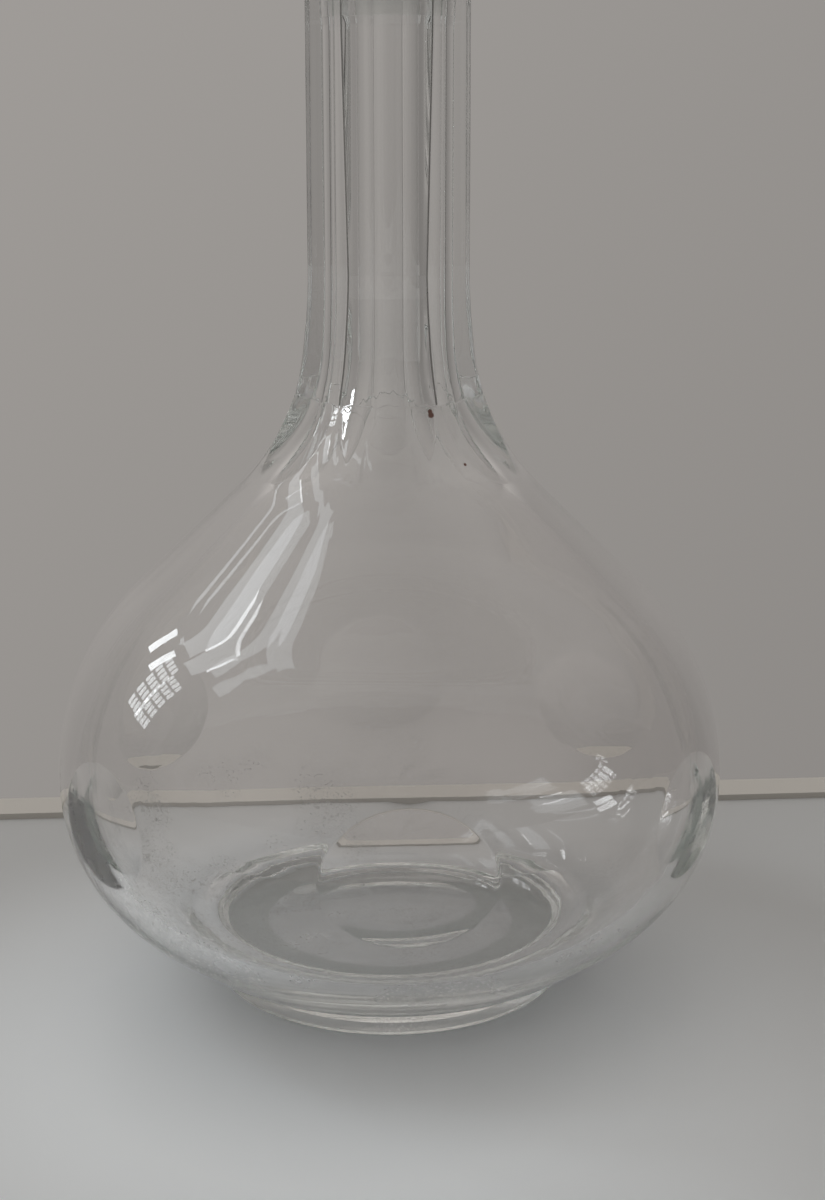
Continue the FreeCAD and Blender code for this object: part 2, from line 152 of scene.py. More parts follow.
class Outline:
    """A run of points, radius and height, drawn from one place to the next."""

    def __init__(self, *start):
        self.points = [np.array([start], dtype=float)]

    @property
    def here(self):
        return self.points[-1][-1]

    def line(self, x, z, count=2):
        start, end = self.here, np.array([x, z], dtype=float)
        steps = fractions(np.linalg.norm(end - start), count)[:, None]
        self.points.append(start + (end - start) * steps)

    def arc(self, centre, degrees, count):
        """Turns about centre by that many degrees, anticlockwise."""
        reach = self.here - centre
        radius = np.linalg.norm(reach)
        steps = fractions(radius * math.radians(abs(degrees)), count)
        turn = math.atan2(reach[1], reach[0]) + math.radians(degrees) * steps
        self.points.append(np.column_stack((np.cos(turn), np.sin(turn))) * radius + centre)

    def all(self):
        return np.concatenate(self.points)


def soft_min(a, b, width):
    """The smaller of two distances, rounded where they meet."""
    overlap = np.maximum(width - np.abs(a - b), 0)
    return np.minimum(a, b) - overlap**2 / (4 * width)


def shoulder_end(belt, radius):
    """Where the arc above the belt meets the shoulder's cone."""
    lean = math.radians(90 - SHOULDER_SLOPE)
    return (belt - radius * (1 - math.cos(lean)), BELT_HEIGHT + radius * math.sin(lean))


def throat_start(belt, radius, throat, neck):
    """Where the shoulder's cone meets the hollow throat arc."""
    lean = math.radians(90 - SHOULDER_SLOPE)
    x, z = shoulder_end(belt, radius)
    low = neck + throat * (1 - math.cos(lean))
    return (low, z + (x - low) / math.tan(lean))


BOWL_CENTRE = (BELT_RADIUS - BOWL_ARC, BELT_HEIGHT)
SHOULDER_CENTRE = (BELT_RADIUS - SHOULDER_ARC, BELT_HEIGHT)
CONE_LOW = shoulder_end(BELT_RADIUS, SHOULDER_ARC)
CONE_HIGH = throat_start(BELT_RADIUS, SHOULDER_ARC, THROAT_ARC, BLANK_RADIUS)
THROAT_CENTRE = (
    BLANK_RADIUS + THROAT_ARC,
    CONE_HIGH[1] + THROAT_ARC * math.sin(math.radians(90 - SHOULDER_SLOPE)),
)
BOWL_LOW = (
    BELT_RADIUS - BOWL_ARC * (1 - math.sin(math.radians(BOWL_SLOPE))),
    BELT_HEIGHT - BOWL_ARC * math.cos(math.radians(BOWL_SLOPE)),
)
RUN_OUT_CENTRE = (
    PANEL_APOTHEM + PANEL_TOP_ARC,
    PANEL_TOP - math.sqrt(PANEL_TOP_ARC**2 - (PANEL_APOTHEM + PANEL_TOP_ARC - LIP_RADIUS) ** 2),
)
SPREAD_END = PANEL_APOTHEM + SPREAD_ARC - math.sqrt(
    SPREAD_ARC**2 - (WAIST_HEIGHT - LEDGE_HEIGHT) ** 2
)
FLUTE_CENTRE = arc_centre((SPREAD_END + LEDGE_WIDTH, LEDGE_HEIGHT), FLUTE_END, FLUTE_ARC)


def circle_side(height, centre, radius, side=1):
    """Radius, at these heights, of a circle's outer side, or of its inner side at -1."""
    reach = np.maximum(radius**2 - (height - centre[1]) ** 2, 0)
    return centre[0] + side * np.sqrt(reach)


def blank_radius(height):
    """The flask's wall as blown, from the bowl's arc up to the lip."""
    cone = CONE_LOW[0] - (height - CONE_LOW[1]) / math.tan(math.radians(SHOULDER_SLOPE))
    stretches = [
        (height < BELT_HEIGHT, circle_side(height, BOWL_CENTRE, BOWL_ARC)),
        (height < CONE_LOW[1], circle_side(height, SHOULDER_CENTRE, SHOULDER_ARC)),
        (height < CONE_HIGH[1], cone),
        (height < THROAT_CENTRE[1], circle_side(height, THROAT_CENTRE, THROAT_ARC, -1)),
    ]
    return np.select([c for c, _ in stretches], [v for _, v in stretches], BLANK_RADIUS)


def panel_apothem(height, under_ledge):
    """Distance from the axis to a panel's face, and to its flute's below the ledge."""
    spread = circle_side(height, (PANEL_APOTHEM + SPREAD_ARC, WAIST_HEIGHT), SPREAD_ARC, -1)
    flute = circle_side(height, FLUTE_CENTRE, FLUTE_ARC, -1)
    below = np.maximum(FLUTE_CENTRE[1] - FLUTE_ARC - height, 0)
    stretches = [
        (under_ledge, flute + 5 * below),
        (height < WAIST_HEIGHT, spread),
        (height < RUN_OUT_CENTRE[1], np.full_like(height, PANEL_APOTHEM)),
    ]
    run_out = circle_side(height, RUN_OUT_CENTRE, PANEL_TOP_ARC, -1)
    return np.select([c for c, _ in stretches], [v for _, v in stretches], run_out)


# ---------------------------------------------------------------- columns round the axis

def oval_reach(depth):
    """Half of the angle that an oval of that depth takes up at the belt."""
    return math.degrees(math.acos(1 - depth / BELT_RADIUS))


def sector_angles(oval=None):
    """Columns of one sector, from one corner of the neck to the next, in degrees from its middle.

    They crowd at the corners, and towards the tips of the sector's oval where it has one.
    """
    half = SECTOR / 2
    corner = np.array([0, 0.3, 0.6, 1.0])
    angles = [-half + corner, half - corner[1:]]
    if oval is None:
        angles.append(np.linspace(-half + 1, half - 1, 13)[1:-1])
    else:
        turn, reach = oval[0], oval_reach(oval[1])
        low, high = turn - reach, turn + reach
        angles.append(turn + reach * np.sin(np.radians(np.linspace(-90, 90, 19))))
        angles.append(np.array([low - 0.35, high + 0.35]))
        angles.append(np.linspace(-half + 1, low - 0.35, 9)[1:-1])
        angles.append(np.linspace(high + 0.35, half - 1, 7)[1:-1])
    return np.sort(np.concatenate(angles))


def all_angles(ovals=(None,) * SIDES):
    return np.concatenate([sector_angles(oval) + SECTOR * side for side, oval in enumerate(ovals)])


def panelled(angles, apothems):
    """The true angle and the six panels' distance along it, for each column and height.

    apothems has one row for each panel. Where two neighbours differ, the corner between
    them moves, and the columns nearby move with it.
    """
    place = (angles % 360) / SECTOR
    side = np.floor(place).astype(int)
    part = (place - side)[:, None]
    own, after = apothems[side % SIDES], apothems[(side + 1) % SIDES]
    sector = math.radians(SECTOR)
    corner = np.arctan2(after - own * math.cos(sector), own * math.sin(sector))
    first = part <= 0.5
    turn = np.where(first, 2 * part * corner, sector - 2 * (1 - part) * (sector - corner))
    own_face = own / np.cos(turn)
    after_face = after / np.cos(sector - turn)
    return side[:, None] * sector + turn, soft_min(own_face, after_face, CORNER_ROUND)


def crossing(track, gap, low, high, missing):
    """Distance along each column to where gap changes sign between two heights."""
    heights, along = track
    found = np.empty(len(along))
    span = np.flatnonzero((heights >= low) & (heights <= high))
    for column, (lengths, values) in enumerate(zip(along, gap)):
        values = values[span]
        turns = np.flatnonzero(np.signbit(values[:-1]) != np.signbit(values[1:]))
        if len(turns):
            at = turns[0]
            part = values[at] / (values[at] - values[at + 1])
            found[column] = lengths[span[at]] * (1 - part) + lengths[span[at] + 1] * part
        else:
            found[column] = np.interp(missing, heights, lengths)
    return found


def stations(stops, counts, margins=(0.15, 0.4)):
    """Row distances along one column: every stop, rows close to it, and rows between stops."""
    rows = [stops[0]]
    for start, end, count in zip(stops[:-1], stops[1:], counts):
        length = end - start
        near = [m for m in margins if m < length * 0.2] if count else []
        if not near and count:
            near = [length * 0.1, length * 0.2]
        elif len(near) == 1 and count:
            near = [near[0], length * 0.2]
        if count:
            inner = np.linspace(start + near[1], end - near[1], count)
            rows += [start + near[0], *inner, end - near[0]]
        rows.append(end)
    return np.array(rows)


def resample(turns, radii, heights, stops, counts):
    """Points of each column at its stations: columns by rows by x, y, z."""
    x, y = radii * np.sin(turns), -radii * np.cos(turns)
    z = np.broadcast_to(heights, x.shape)
    steps = np.sqrt(np.diff(x, axis=1) ** 2 + np.diff(y, axis=1) ** 2 + np.diff(z, axis=1) ** 2)
    along = np.concatenate((np.zeros((len(x), 1)), np.cumsum(steps, axis=1)), axis=1)
    columns = []
    for column, lengths in enumerate(along):
        rows = stations([stop(column, lengths) for stop in stops], counts)
        columns.append([np.interp(rows, lengths, axis[column]) for axis in (x, y, z)])
    return np.array(columns).transpose(0, 2, 1)


def at_height(heights, height):
    return lambda column, lengths: np.interp(height, heights, lengths)


def lathe(angles, outline):
    """Points of a round stretch: columns by rows by x, y, z."""
    turns = np.radians(angles)[:, None]
    radii = outline[None, :, 0]
    heights = np.broadcast_to(outline[None, :, 1], (len(angles), len(outline)))
    return np.stack((radii * np.sin(turns), -radii * np.cos(turns), heights), axis=2)


def glass_mesh(name, grid, first_pole, last_pole, material_rows):
    """One closed skin: the grid of columns and rows with a point on the axis at both ends.

    material_rows gives, for each row of faces, the number of its material.
    """
    columns, rows, _ = grid.shape
    vertices = np.concatenate((grid.reshape(-1, 3), [first_pole], [last_pole])) * MM
    first, last = columns * rows, columns * rows + 1
    faces, numbers = [], []
    for column in range(columns):
        here, there = column * rows, (column + 1) % columns * rows
        faces.append((first, here, there))
        numbers.append(material_rows[0])
        for row in range(rows - 1):
            faces.append((here + row, here + row + 1, there + row + 1, there + row))
            numbers.append(material_rows[row])
        faces.append((here + rows - 1, last, there + rows - 1))
        numbers.append(material_rows[-1])
    mesh = bpy.data.meshes.new(name)
    mesh.from_pydata(vertices.tolist(), [], [face[::-1] for face in faces])
    mesh.polygons.foreach_set("material_index", numbers)
    mesh.polygons.foreach_set("use_smooth", [True] * len(faces))
    mesh.update()
    piece = bpy.data.objects.new(name, mesh)
    bpy.context.scene.collection.objects.link(piece)
    return piece


# ---------------------------------------------------------------- the flask

def foot_outline():
    """From beside the axis under the foot, over foot and heel, to the bowl's arc."""
    slope = math.radians(BOWL_SLOPE)
    dish = (REST_INNER**2 + DISH_DEPTH**2) / (2 * DISH_DEPTH)
    dish_turn = math.degrees(math.asin(REST_INNER / dish))
    heel_end = HEEL_HEIGHT + HEEL_ARC * (1 - math.cos(slope))
    heel_start = (
        BOWL_LOW[0]
        - (BOWL_LOW[1] - heel_end) / math.tan(slope)
        - HEEL_ARC * math.sin(slope)
    )
    draw = Outline(0, DISH_DEPTH)
    draw.arc((0, DISH_DEPTH - dish), -dish_turn, 10)
    draw.line(FOOT_RADIUS - FOOT_EDGE, 0, 3)
    draw.arc((FOOT_RADIUS - FOOT_EDGE, FOOT_EDGE), 90, 6)
    draw.line(FOOT_RADIUS, HEEL_HEIGHT - FOOT_COVE, 3)
    draw.arc((FOOT_RADIUS + FOOT_COVE, HEEL_HEIGHT - FOOT_COVE), -90, 6)
    draw.line(heel_start, HEEL_HEIGHT, 3)
    draw.arc((heel_start, HEEL_HEIGHT + HEEL_ARC), BOWL_SLOPE, 6)
    draw.line(*BOWL_LOW, 5)
    return draw.all()[1:]


def lip_outline():
    """From the lip's hollow over the rim to the inner chamfer's edge."""
    flare_turn = math.degrees(math.acos((LIP_FLARE - LIP_RADIUS + BLANK_RADIUS) / LIP_FLARE))
    mouth = SOCKET_RADIUS + (RIM_HEIGHT - MOUTH_CHAMFER - SOCKET_HEIGHT) * TAPER
    draw = Outline(BLANK_RADIUS, LIP_START)
    draw.arc((BLANK_RADIUS + LIP_FLARE, LIP_START), -flare_turn, 7)
    draw.line(LIP_RADIUS, RIM_HEIGHT - LIP_EDGE, 4)
    draw.arc((LIP_RADIUS - LIP_EDGE, RIM_HEIGHT - LIP_EDGE), 90, 6)
    draw.line(mouth + MOUTH_CHAMFER, RIM_HEIGHT, 4)
    return draw.all()[1:]


def socket_outline():
    """The chamfer and the ground socket, down to its step."""
    mouth = SOCKET_RADIUS + (RIM_HEIGHT - MOUTH_CHAMFER - SOCKET_HEIGHT) * TAPER
    draw = Outline(mouth + MOUTH_CHAMFER, RIM_HEIGHT)
    draw.line(mouth, RIM_HEIGHT - MOUTH_CHAMFER, 2)
    draw.line(SOCKET_RADIUS, SOCKET_HEIGHT, 8)
    return draw.all()[1:]


def cavity_outline():
    """From the socket's step down the bore, round the bulb and in to the floor's middle."""
    belt = BELT_RADIUS - WALL
    throat = throat_start(belt, INNER_SHOULDER_ARC, INNER_THROAT_ARC, BORE_RADIUS)
    lean = 90 - SHOULDER_SLOPE
    throat_centre = (
        BORE_RADIUS + INNER_THROAT_ARC,
        throat[1] + INNER_THROAT_ARC * math.sin(math.radians(lean)),
    )
    bowl_centre = (belt - INNER_BOWL_ARC, BELT_HEIGHT)
    across, above = bowl_centre[0], BELT_HEIGHT - FLOOR_HEIGHT
    floor_arc = (across**2 + above**2 - INNER_BOWL_ARC**2) / (2 * (above - INNER_BOWL_ARC))
    floor_turn = math.degrees(math.asin(across / (floor_arc - INNER_BOWL_ARC)))
    draw = Outline(SOCKET_RADIUS, SOCKET_HEIGHT)
    draw.line(BORE_RADIUS, SOCKET_HEIGHT - SOCKET_STEP, 3)
    draw.line(BORE_RADIUS, throat_centre[1], 16)
    draw.arc(throat_centre, lean, 16)
    draw.line(*shoulder_end(belt, INNER_SHOULDER_ARC), 6)
    draw.arc((belt - INNER_SHOULDER_ARC, BELT_HEIGHT), -lean, 24)
    draw.arc(bowl_centre, -(90 - floor_turn), 28)
    draw.arc((0, FLOOR_HEIGHT + floor_arc), -floor_turn, 12)
    return draw.all()[1:-1]


def flask_wall(angles):
    """The outer wall with its oval cuts, flutes, ledge and panels."""
    plain = np.linspace(BOWL_LOW[1], LIP_START, WALL_SAMPLES)
    below = plain[plain < LEDGE_HEIGHT - 2 * LEDGE_ROUND]
    beyond = plain[plain > LEDGE_HEIGHT + 2 * LEDGE_ROUND]
    ledge = LEDGE_HEIGHT + LEDGE_ROUND * np.array([-1.0, 0.0, 0.0, 1.0])
    heights = np.concatenate((below, ledge, beyond))
    under = np.concatenate((np.ones(len(below)), [1, 1, 0, 0], np.zeros(len(beyond)))) > 0
    nominal = panel_apothem(heights, under)
    step = len(below)
    nominal[step + 1] -= LEDGE_ROUND
    nominal[step + 2] += LEDGE_ROUND

    # Panels and ovals, each out of true by its own error.
    places = [LEDGE_HEIGHT, WAIST_HEIGHT, SOCKET_HEIGHT, LIP_START]
    errors = [np.interp(heights, places, [0, waist, top, top]) for waist, top in PANEL_ERRORS]
    turns, panels = panelled(angles, nominal + np.array(errors))
    blank = blank_radius(heights)[None, :]
    radii = soft_min(blank, panels, CUT_ROUND)

    ovals = np.full_like(turns, 2 * BELT_RADIUS)
    for side, (turn, depth) in enumerate(OVALS):
        away = turns - math.radians(SECTOR * side + turn)
        facing = np.cos(away) > 0.5
        ovals = np.where(facing, np.minimum(ovals, (BELT_RADIUS - depth) / np.cos(away)), ovals)
    radii = soft_min(radii, ovals, CUT_ROUND)

    def crossed(gap, low, high, missing):
        def find(column, lengths):
            track = (heights, lengths[None])
            return crossing(track, gap[column][None], low, high, missing)[0]
        return find

    oval_gap = ovals - blank
    flute_gap = panels - blank
    # Where a column misses a cut, its row of points stands this far from the belt or the ledge.
    tip, short = 3.0, LEDGE_HEIGHT - 0.7
    stops = [
        at_height(heights, BOWL_LOW[1]),
        crossed(oval_gap, BOWL_LOW[1], BELT_HEIGHT - tip, BELT_HEIGHT - tip),
        crossed(oval_gap, BELT_HEIGHT + tip, CONE_LOW[1], BELT_HEIGHT + tip),
        crossed(flute_gap, FLUTE_END[1] - 1, short, short),
        lambda column, lengths: lengths[step],
        lambda column, lengths: lengths[step + 1],
        lambda column, lengths: lengths[step + 2],
        lambda column, lengths: lengths[step + 3],
        at_height(heights, WAIST_HEIGHT),
        at_height(heights, RUN_OUT_CENTRE[1]),
        crossed(flute_gap, RUN_OUT_CENTRE[1], PANEL_TOP, PANEL_TOP - 2),
        at_height(heights, LIP_START),
    ]
    counts = [16, 14, 44, 16, 0, 0, 0, 14, 8, 8, 4]
    points = resample(turns, radii, heights, stops, counts)
    # The ledge's edge isn't quite level.
    around = np.arctan2(points[..., 0], -points[..., 1])
    wave = np.sin(17 * around + 1.0) + 0.6 * np.sin(31 * around + 2.0)
    points[..., 2] += LEDGE_WAVE * wave * np.exp(-((points[..., 2] - LEDGE_HEIGHT) / 2) ** 2)
    return points


def uneven(points):
    """Slow waves of a blown surface, a few hundredths of a millimetre high."""
    x, y, z = points[..., 0], points[..., 1], points[..., 2]
    around = np.arctan2(x, -y)
    wave = (
        0.05 * np.sin(3 * around + 0.045 * z + 0.7)
        + 0.035 * np.sin(5 * around - 0.08 * z + 2.1)
        + 0.03 * np.sin(0.11 * z + 2 * around)
    )
    reach = np.hypot(x, y)
    scale = 1 + wave * np.clip(reach / 40, 0, 1) / np.maximum(reach, 1)
    return np.stack((x * scale, y * scale, z), axis=-1)


def paint_edge_shade(flask, angles, rows):
    """Give the narrow faces along the neck's edges the glass that paints a dark line of shade."""
    from_edge = np.abs((angles + SECTOR / 2 + 1) % SECTOR - 1)
    from_edge = np.maximum(from_edge, np.roll(from_edge, -1))
    for face in flask.data.polygons:
        middle = face.center / MM
        outside = middle.xy.length > SOCKET_RADIUS + 2
        on_neck = LEDGE_HEIGHT + 1 < middle.z < LIP_START - 8
        front, side, back = EDGE_SHADE_REACHES
        reach = front if middle.y < -5 else side if middle.y < 5 else back
        # Painted shade: faces close to a corner get the dark line.
        if outside and on_neck and from_edge[face.index // (rows + 1)] < reach:
            face.material_index = EDGE_SHADE


def make_flask(glass, ground, edge_shade, worn):
    angles = all_angles(OVALS)
    foot = lathe(angles, foot_outline())
    wall = flask_wall(angles)
    lip = lathe(angles, lip_outline())
    socket = lathe(angles, socket_outline())
    cavity = uneven(lathe(angles, cavity_outline()))
    grid = np.concatenate((foot, wall[:, 1:-1], lip, socket, cavity), axis=1)
    ground_start = foot.shape[1] + wall.shape[1] - 2 + lip.shape[1]
    ground_end = ground_start + socket.shape[1]
    materials = np.full(grid.shape[1], CLEAR)
    materials[ground_start:ground_end] = GROUND
    # The flat ring under the foot is the only stretch of it that lies on the table.
    reach, height = np.hypot(foot[0, :, 0], foot[0, :, 1]), foot[0, :, 2]
    materials[:foot.shape[1]][(reach > REST_INNER - 0.1) & (height < 0.1)] = WORN
    poles = ((0, 0, DISH_DEPTH), (0, 0, FLOOR_HEIGHT))
    flask = glass_mesh("flask_glass_body", grid, *poles, materials)
    # The third material paints a dark line of shade along the neck's edges.
    for material in (glass, ground, edge_shade, worn):
        flask.data.materials.append(material)
    paint_edge_shade(flask, angles, grid.shape[1])
    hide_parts("flask_body")
    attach(flask, "flask")


# ---------------------------------------------------------------- the stopper

def plug_outline():
    """From beside the axis under the plug, up its ground side."""
    small = SOCKET_RADIUS - PLUG_GAP
    low = stopper_low.z

    def side(height):
        return small + (height - SOCKET_HEIGHT) * TAPER

    draw = Outline(0, low)
    draw.line(side(low + PLUG_CHAMFER) - PLUG_CHAMFER, low, PLUG_FACE_ROWS)
    draw.line(side(low + PLUG_CHAMFER), low + PLUG_CHAMFER, 2)
    draw.line(side(PLUG_TOP), PLUG_TOP, 10)
    return draw.all()[1:]


def stopper_wall(angles):
    """Collar and head, with the head's flats."""
    plug_top = (SOCKET_RADIUS - PLUG_GAP + (PLUG_TOP - SOCKET_HEIGHT) * TAPER, PLUG_TOP)
    heights = np.linspace(PLUG_TOP, CROWN[1], STOPPER_SAMPLES)
    hollow = circle_side(
        heights, arc_centre(plug_top, COLLAR, COLLAR_ARC, False), COLLAR_ARC, -1
    )
    under_centre = arc_centre(COLLAR, HEAD, HEAD_UNDER_ARC)
    over_centre = arc_centre(HEAD, CROWN, HEAD_OVER_ARC)
    under = circle_side(heights, under_centre, HEAD_UNDER_ARC)
    over = circle_side(heights, over_centre, HEAD_OVER_ARC)
    blank = np.select([heights < COLLAR[1], heights < HEAD[1]], [hollow, under], over)
    upper = HEAD_APOTHEM - (heights - HEAD[1]) * math.tan(math.radians(HEAD_OVER_LEAN))
    lower = HEAD_APOTHEM - (HEAD[1] - heights) * math.tan(math.radians(HEAD_UNDER_LEAN))
    flats = soft_min(upper, lower, CORNER_ROUND)
    flats = np.where(heights < COLLAR[1], flats + 20 * (COLLAR[1] - heights), flats)
    turns, panels = panelled(angles, np.tile(flats, (SIDES, 1)))
    radii = soft_min(blank[None, :], panels, CUT_ROUND)
    gap = panels - blank[None, :]

    def crossed(low, high, missing):
        def find(column, lengths):
            return crossing((heights, lengths[None]), gap[column][None], low, high, missing)[0]
        return find

    stops = [
        at_height(heights, PLUG_TOP),
        at_height(heights, COLLAR[1]),
        crossed(COLLAR[1] + 0.3, HEAD[1] - 1, COLLAR[1] + 1.5),
        at_height(heights, HEAD[1]),
        crossed(HEAD[1] + 1, CROWN[1] - 0.5, CROWN[1] - 1.0),
        at_height(heights, CROWN[1]),
    ]
    return resample(turns, radii, heights, stops, [8, 3, 8, 14, 4])


def make_stopper(glass, ground):
    angles = all_angles()
    plug = lathe(angles, plug_outline())
    wall = stopper_wall(angles)
    edge = wall[:, -1]
    crown = np.stack([edge * (share, share, 1) for share in CROWN_SHARES], axis=1)
    grid = np.concatenate((plug, wall[:, 1:], crown), axis=1)
    materials = np.full(grid.shape[1], CLEAR)
    materials[PLUG_FACE_ROWS:plug.shape[1]] = GROUND
    poles = ((0, 0, stopper_low.z), (0, 0, stopper_high.z))
    stopper = glass_mesh("stopper_glass_body", grid, *poles, materials)
    for material in (glass, ground):
        stopper.data.materials.append(material)
    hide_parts("stopper")
    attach(stopper, "stopper")


# ---------------------------------------------------------------- materials

GLASS_IOR = 1.52
# Centre and radius, in metres, of the reddish speck's two ends and of the dark seed below it.
SPECKS = [
    ((0.0083, -0.0177, 0.1247), 0.0004),
    ((0.0085, -0.0179, 0.1240), 0.0005),
    ((0.0152, -0.0196, 0.1144), 0.0003),
]


def node_tree(name):
    material = bpy.data.materials.new(name)
    material.use_nodes = True
    tree = material.node_tree
    tree.nodes.clear()
    return material, tree


def between(tree, source, low, high, from_value=0.0, to_value=1.0):
    """A value that goes from one number to another as source goes from low to high."""
    node = tree.nodes.new("ShaderNodeMapRange")
    node.inputs["From Min"].default_value = low
    node.inputs["From Max"].default_value = high
    node.inputs["To Min"].default_value = from_value
    node.inputs["To Max"].default_value = to_value
    tree.links.new(source, node.inputs["Value"])
    return node.outputs[0]


def combined(tree, operation, a, b):
    node = tree.nodes.new("ShaderNodeMath")
    node.operation = operation
    for socket, value in zip(node.inputs, (a, b)):
        if isinstance(value, float):
            socket.default_value = value
        else:
            tree.links.new(value, socket)
    return node.outputs[0]


def noise(tree, place, scale, detail=2.0):
    node = tree.nodes.new("ShaderNodeTexNoise")
    node.inputs["Scale"].default_value = scale
    node.inputs["Detail"].default_value = detail
    tree.links.new(place, node.inputs["Vector"])
    return node.outputs[0]


def mixed(tree, factor, a, b):
    """A colour between a and b; a may be another node's colour."""
    node = tree.nodes.new("ShaderNodeMix")
    node.data_type = "RGBA"
    tree.links.new(factor, node.inputs["Factor"])
    if isinstance(a, tuple):
        node.inputs["A"].default_value = (*a, 1)
    else:
        tree.links.new(a, node.inputs["A"])
    node.inputs["B"].default_value = (*b, 1)
    return node.outputs["Result"]


def spot(tree, place, centre, radius):
    """1 within radius of a point of the glass, and 0 a little further out."""
    node = tree.nodes.new("ShaderNodeVectorMath")
    node.operation = "DISTANCE"
    node.inputs[1].default_value = centre
    tree.links.new(place, node.inputs[0])
    return between(tree, node.outputs["Value"], radius, radius * 1.4, 1.0, 0.0)


def glass_shader(tree):
    """A glass surface over a faint grey-green depth; the surface shader and object place."""
    shader = tree.nodes.new("ShaderNodeBsdfPrincipled")
    shader.inputs["IOR"].default_value = GLASS_IOR
    depth = tree.nodes.new("ShaderNodeVolumeAbsorption")
    depth.inputs["Color"].default_value = (0.60, 0.69, 0.64, 1)
    depth.inputs["Density"].default_value = 2.0
    output = tree.nodes.new("ShaderNodeOutputMaterial")
    tree.links.new(shader.outputs[0], output.inputs["Surface"])
    tree.links.new(depth.outputs[0], output.inputs["Volume"])
    return shader, tree.nodes.new("ShaderNodeTexCoord").outputs["Object"]


def clear_glass(name):
    """Polished soda glass, its colour a little darker in the lower bulb and most towards the right,
    with limescale flecks and two specks.
    """
    material, tree = node_tree(name)
    shader, place = glass_shader(tree)
    split = tree.nodes.new("ShaderNodeSeparateXYZ")
    tree.links.new(place, split.inputs[0])
    low = between(tree, split.outputs["Z"], 0.020, 0.045, 1.0, 0.0)
    left = between(tree, split.outputs["X"], -0.05, 0.02, 1.0, 0.25)
    patches = between(tree, noise(tree, place, 45.0), 0.50, 0.62)
    grains = between(tree, noise(tree, place, 1400.0, 1.0), 0.60, 0.66)
    film = combined(tree, "MULTIPLY", combined(tree, "MULTIPLY", low, left), patches)
    flecks = combined(tree, "MULTIPLY", film, grains)
    reddish, reddish_end, seed = [spot(tree, place, *speck) for speck in SPECKS]
    specks = combined(tree, "MAXIMUM", combined(tree, "MAXIMUM", reddish, reddish_end), seed)
    marks = combined(tree, "MAXIMUM", flecks, specks)
    # The lower bulb's colour is a little darker, about a third as much on the left as on the right,
    # fading out above it.
    bulb_darkening = combined(
        tree, "MULTIPLY",
        between(tree, split.outputs["X"], -0.035, 0.03, 0.35, 1.0),
        between(tree, split.outputs["Z"], 0.105, 0.13, 1.0, 0.0),
    )
    bulb = mixed(tree, bulb_darkening, (1.0, 1.0, 1.0), (0.962, 0.953, 0.95))
    tree.links.new(mixed(tree, specks, bulb, (0.12, 0.045, 0.03)), shader.inputs["Base Color"])
    haze = combined(tree, "MULTIPLY", film, 0.10)
    tree.links.new(between(tree, marks, 0.0, 1.0, 0.0, 0.35), shader.inputs["Roughness"])
    clouded = combined(tree, "MAXIMUM", combined(tree, "MULTIPLY", marks, 0.7), haze)
    tree.links.new(combined(tree, "SUBTRACT", 1.0, clouded), shader.inputs["Transmission Weight"])
    return material


def edge_shade_glass(name):
    """The thin line along a cut edge of the neck: painted shade, a dark grey line standing in for
    the dark refraction seen along the edge, uneven in strength along its length.
    """
    material, tree = node_tree(name)
    shader, place = glass_shader(tree)
    # Where the painted line is strong it is rougher, greyer and lets less light through.
    edge_shade_strength = between(tree, noise(tree, place, 70.0), 0.35, 0.65)
    tree.links.new(between(tree, edge_shade_strength, 0.0, 1.0, 0.2, 0.5), shader.inputs["Roughness"])
    tree.links.new(between(tree, edge_shade_strength, 0.0, 1.0, 0.85, 0.35), shader.inputs["Transmission Weight"])
    # Painted shade: the dark grey colour makes the edge read as a dark line.
    shader.inputs["Base Color"].default_value = (0.22, 0.22, 0.21, 1)
    return material


def worn_glass(name):
    """The ring that the flask rests on, scuffed by years of being set down."""
    material, tree = node_tree(name)
    shader, place = glass_shader(tree)
    scuffs = between(tree, noise(tree, place, 1800.0, 4.0), 0.3, 0.7)
    tree.links.new(between(tree, scuffs, 0.0, 1.0, 0.06, 0.11), shader.inputs["Roughness"])
    tree.links.new(between(tree, scuffs, 0.0, 1.0, 1.0, 0.94), shader.inputs["Transmission Weight"])
    shader.inputs["Base Color"].default_value = (0.96, 0.97, 0.96, 1)
    return material


def ground_glass(name):
    """Glass ground matt and whitish with fine grit, fading out at its lower end."""
    material, tree = node_tree(name)
    shader, place = glass_shader(tree)
    split = tree.nodes.new("ShaderNodeSeparateXYZ")
    tree.links.new(place, split.inputs[0])
    start = SOCKET_HEIGHT * MM
    matt = between(tree, split.outputs["Z"], start, start + 0.012, 0.1, 1.0)
    grit = between(tree, noise(tree, place, 2500.0, 3.0), 0.3, 0.7, 0.7, 1.0)
    cover = combined(tree, "MULTIPLY", matt, grit)
    tree.links.new(between(tree, cover, 0.0, 1.0, 0.05, 0.45), shader.inputs["Roughness"])
    tree.links.new(between(tree, cover, 0.0, 1.0, 1.0, 0.5), shader.inputs["Transmission Weight"])
    shader.inputs["Base Color"].default_value = (0.97, 0.98, 0.975, 1)
    return material


# The table's colour at its front, and the darker colour of painted shade that it goes to at its
# back edge, where the wall would shade it.
FLOOR_FRONT_COLOUR = (0.74, 0.773, 0.79)
FLOOR_BACK_SHADE_COLOUR = (0.49, 0.50, 0.50)


